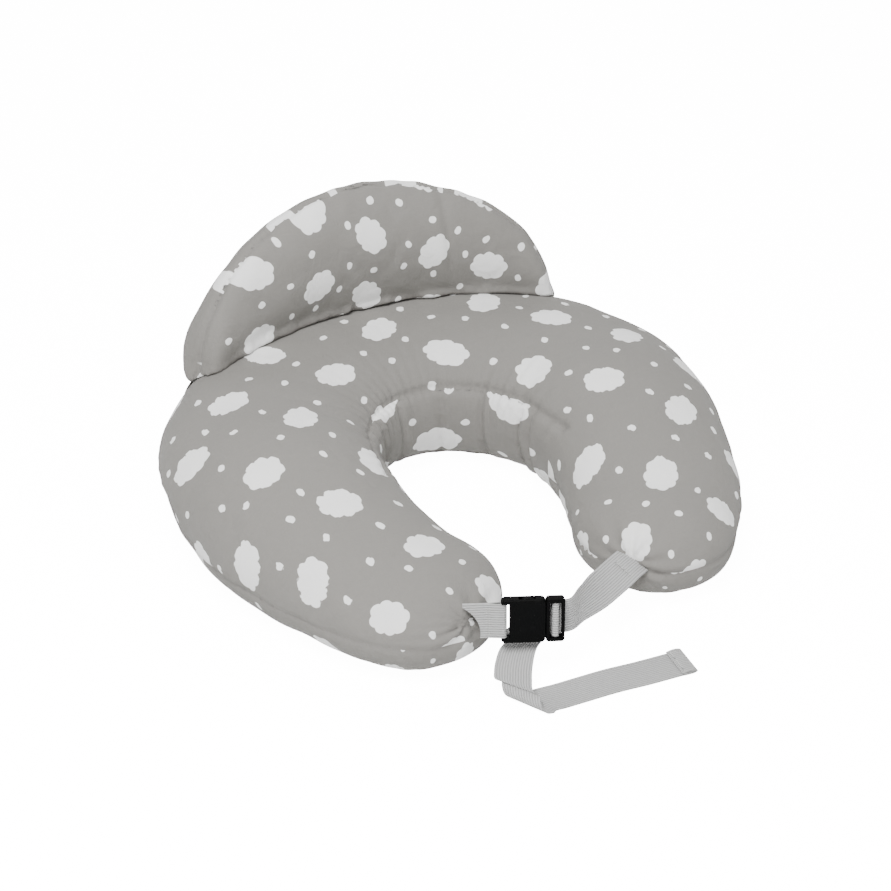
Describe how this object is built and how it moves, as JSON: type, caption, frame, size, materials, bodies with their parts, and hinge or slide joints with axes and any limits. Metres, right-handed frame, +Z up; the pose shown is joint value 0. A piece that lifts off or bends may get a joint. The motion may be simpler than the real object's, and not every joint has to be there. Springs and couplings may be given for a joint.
{
  "type": "nursing pillow",
  "caption": "U-shaped stuffed nursing pillow with a half-moon guard cushion on its rear rim and a webbing waist strap with a side-release buckle.",
  "frame": {"origin": "centre of the whole object's footprint, at the level of the surface it stands on", "axes": "+Z up; -Y is the open side of the U, where the strap is; +Y is the rear, where the guard cushion stands; +X is to the right of someone looking towards +Y"},
  "size_m": [0.5764, 0.6242, 0.276],
  "materials": {
    "printed_cotton": "fine plain weave, printed",
    "lining": "plain white nonwoven",
    "fibre_filling": "loose polyester fibre",
    "zip_tape": "woven tape",
    "zip_coil": "nylon",
    "zip_metal": "painted",
    "black_plastic": "fine satin",
    "webbing": "ribbed",
    "thread": "spun thread",
    "label": "satin, blank"
  },
  "bodies": {
    "pillow": {"pillow_top_panel": "printed_cotton", "pillow_bottom_panel": "printed_cotton", "pillow_inner_band": "printed_cotton", "pillow_insert_case": "lining", "pillow_filling": "fibre_filling", "pillow_zip_tapes": "zip_tape", "pillow_zip_coil": "zip_coil", "pillow_zip_stops": "zip_coil", "guard_join_strip": "printed_cotton", "buckle_socket": "black_plastic", "fixed_webbing": "webbing", "fixed_webbing_stitching": "thread", "adjustable_webbing_stitching": "thread", "care_label": "label"},
    "guard": {"guard_front_panel": "printed_cotton", "guard_back_panel": "printed_cotton", "guard_insert_case": "lining", "guard_filling": "fibre_filling", "guard_zip_tapes": "zip_tape", "guard_zip_coil": "zip_coil", "guard_zip_stops": "zip_coil"},
    "pillow_slider": {"pillow_zip_slider": "zip_metal"},
    "pillow_pull": {"pillow_zip_pull": "zip_metal"},
    "guard_slider": {"guard_zip_slider": "zip_metal"},
    "guard_pull": {"guard_zip_pull": "zip_metal"},
    "tongue": {"buckle_tongue": "black_plastic", "adjustable_webbing": "webbing", "webbing_hem": "webbing", "webbing_hem_stitching": "thread"},
    "prong_upper": {"buckle_prong_upper": "black_plastic"},
    "prong_lower": {"buckle_prong_lower": "black_plastic"}
  },
  "joints": [
    {"name": "guard_tilt", "type": "hinge", "parent": "pillow", "child": "guard", "pos_m": [0, 0.31113, 0.092], "axis": [1, 0, 0], "range_deg": [-35, 0], "stiffness_Nm_per_rad": 0.3, "deforming": ["guard_join_strip"]},
    {"name": "buckle_release", "type": "slide", "parent": "pillow", "child": "tongue", "axis": [0.9161, -0.401, 0], "range_m": [0, 0.034], "deforming": ["adjustable_webbing", "buckle_prong_upper", "buckle_prong_lower"]},
    {"name": "prong_upper_squeeze", "type": "hinge", "parent": "tongue", "child": "prong_upper", "pos_m": [-0.04741, -0.25137, 0.07435], "axis": [-0.3961, -0.9048, 0.1564], "range_deg": [0, 8], "stiffness_Nm_per_rad": 0.1},
    {"name": "prong_lower_squeeze", "type": "hinge", "parent": "tongue", "child": "prong_lower", "pos_m": [-0.04898, -0.25495, 0.04965], "axis": [0.3961, 0.9048, -0.1564], "range_deg": [0, 8], "stiffness_Nm_per_rad": 0.1},
    {"name": "pillow_zip_travel", "type": "hinge", "parent": "pillow", "child": "pillow_slider", "pos_m": [0, 0.01713, 0.045], "axis": [0, 0, 1], "range_deg": [-66, 0]},
    {"name": "pillow_pull_swing", "type": "hinge", "parent": "pillow_slider", "child": "pillow_pull", "pos_m": [-0.16084, 0.26729, 0.045], "axis": [0, 0, 1], "range_deg": [0, 95]},
    {"name": "guard_zip_travel", "type": "hinge", "parent": "guard", "child": "guard_slider", "pos_m": [0, -0.11287, 0.152], "axis": [0, 0, 1], "range_deg": [0, 22]},
    {"name": "guard_pull_swing", "type": "hinge", "parent": "guard_slider", "child": "guard_pull", "pos_m": [0.08105, 0.297, 0.152], "axis": [0, 0, 1], "range_deg": [0, 95]}
  ]
}
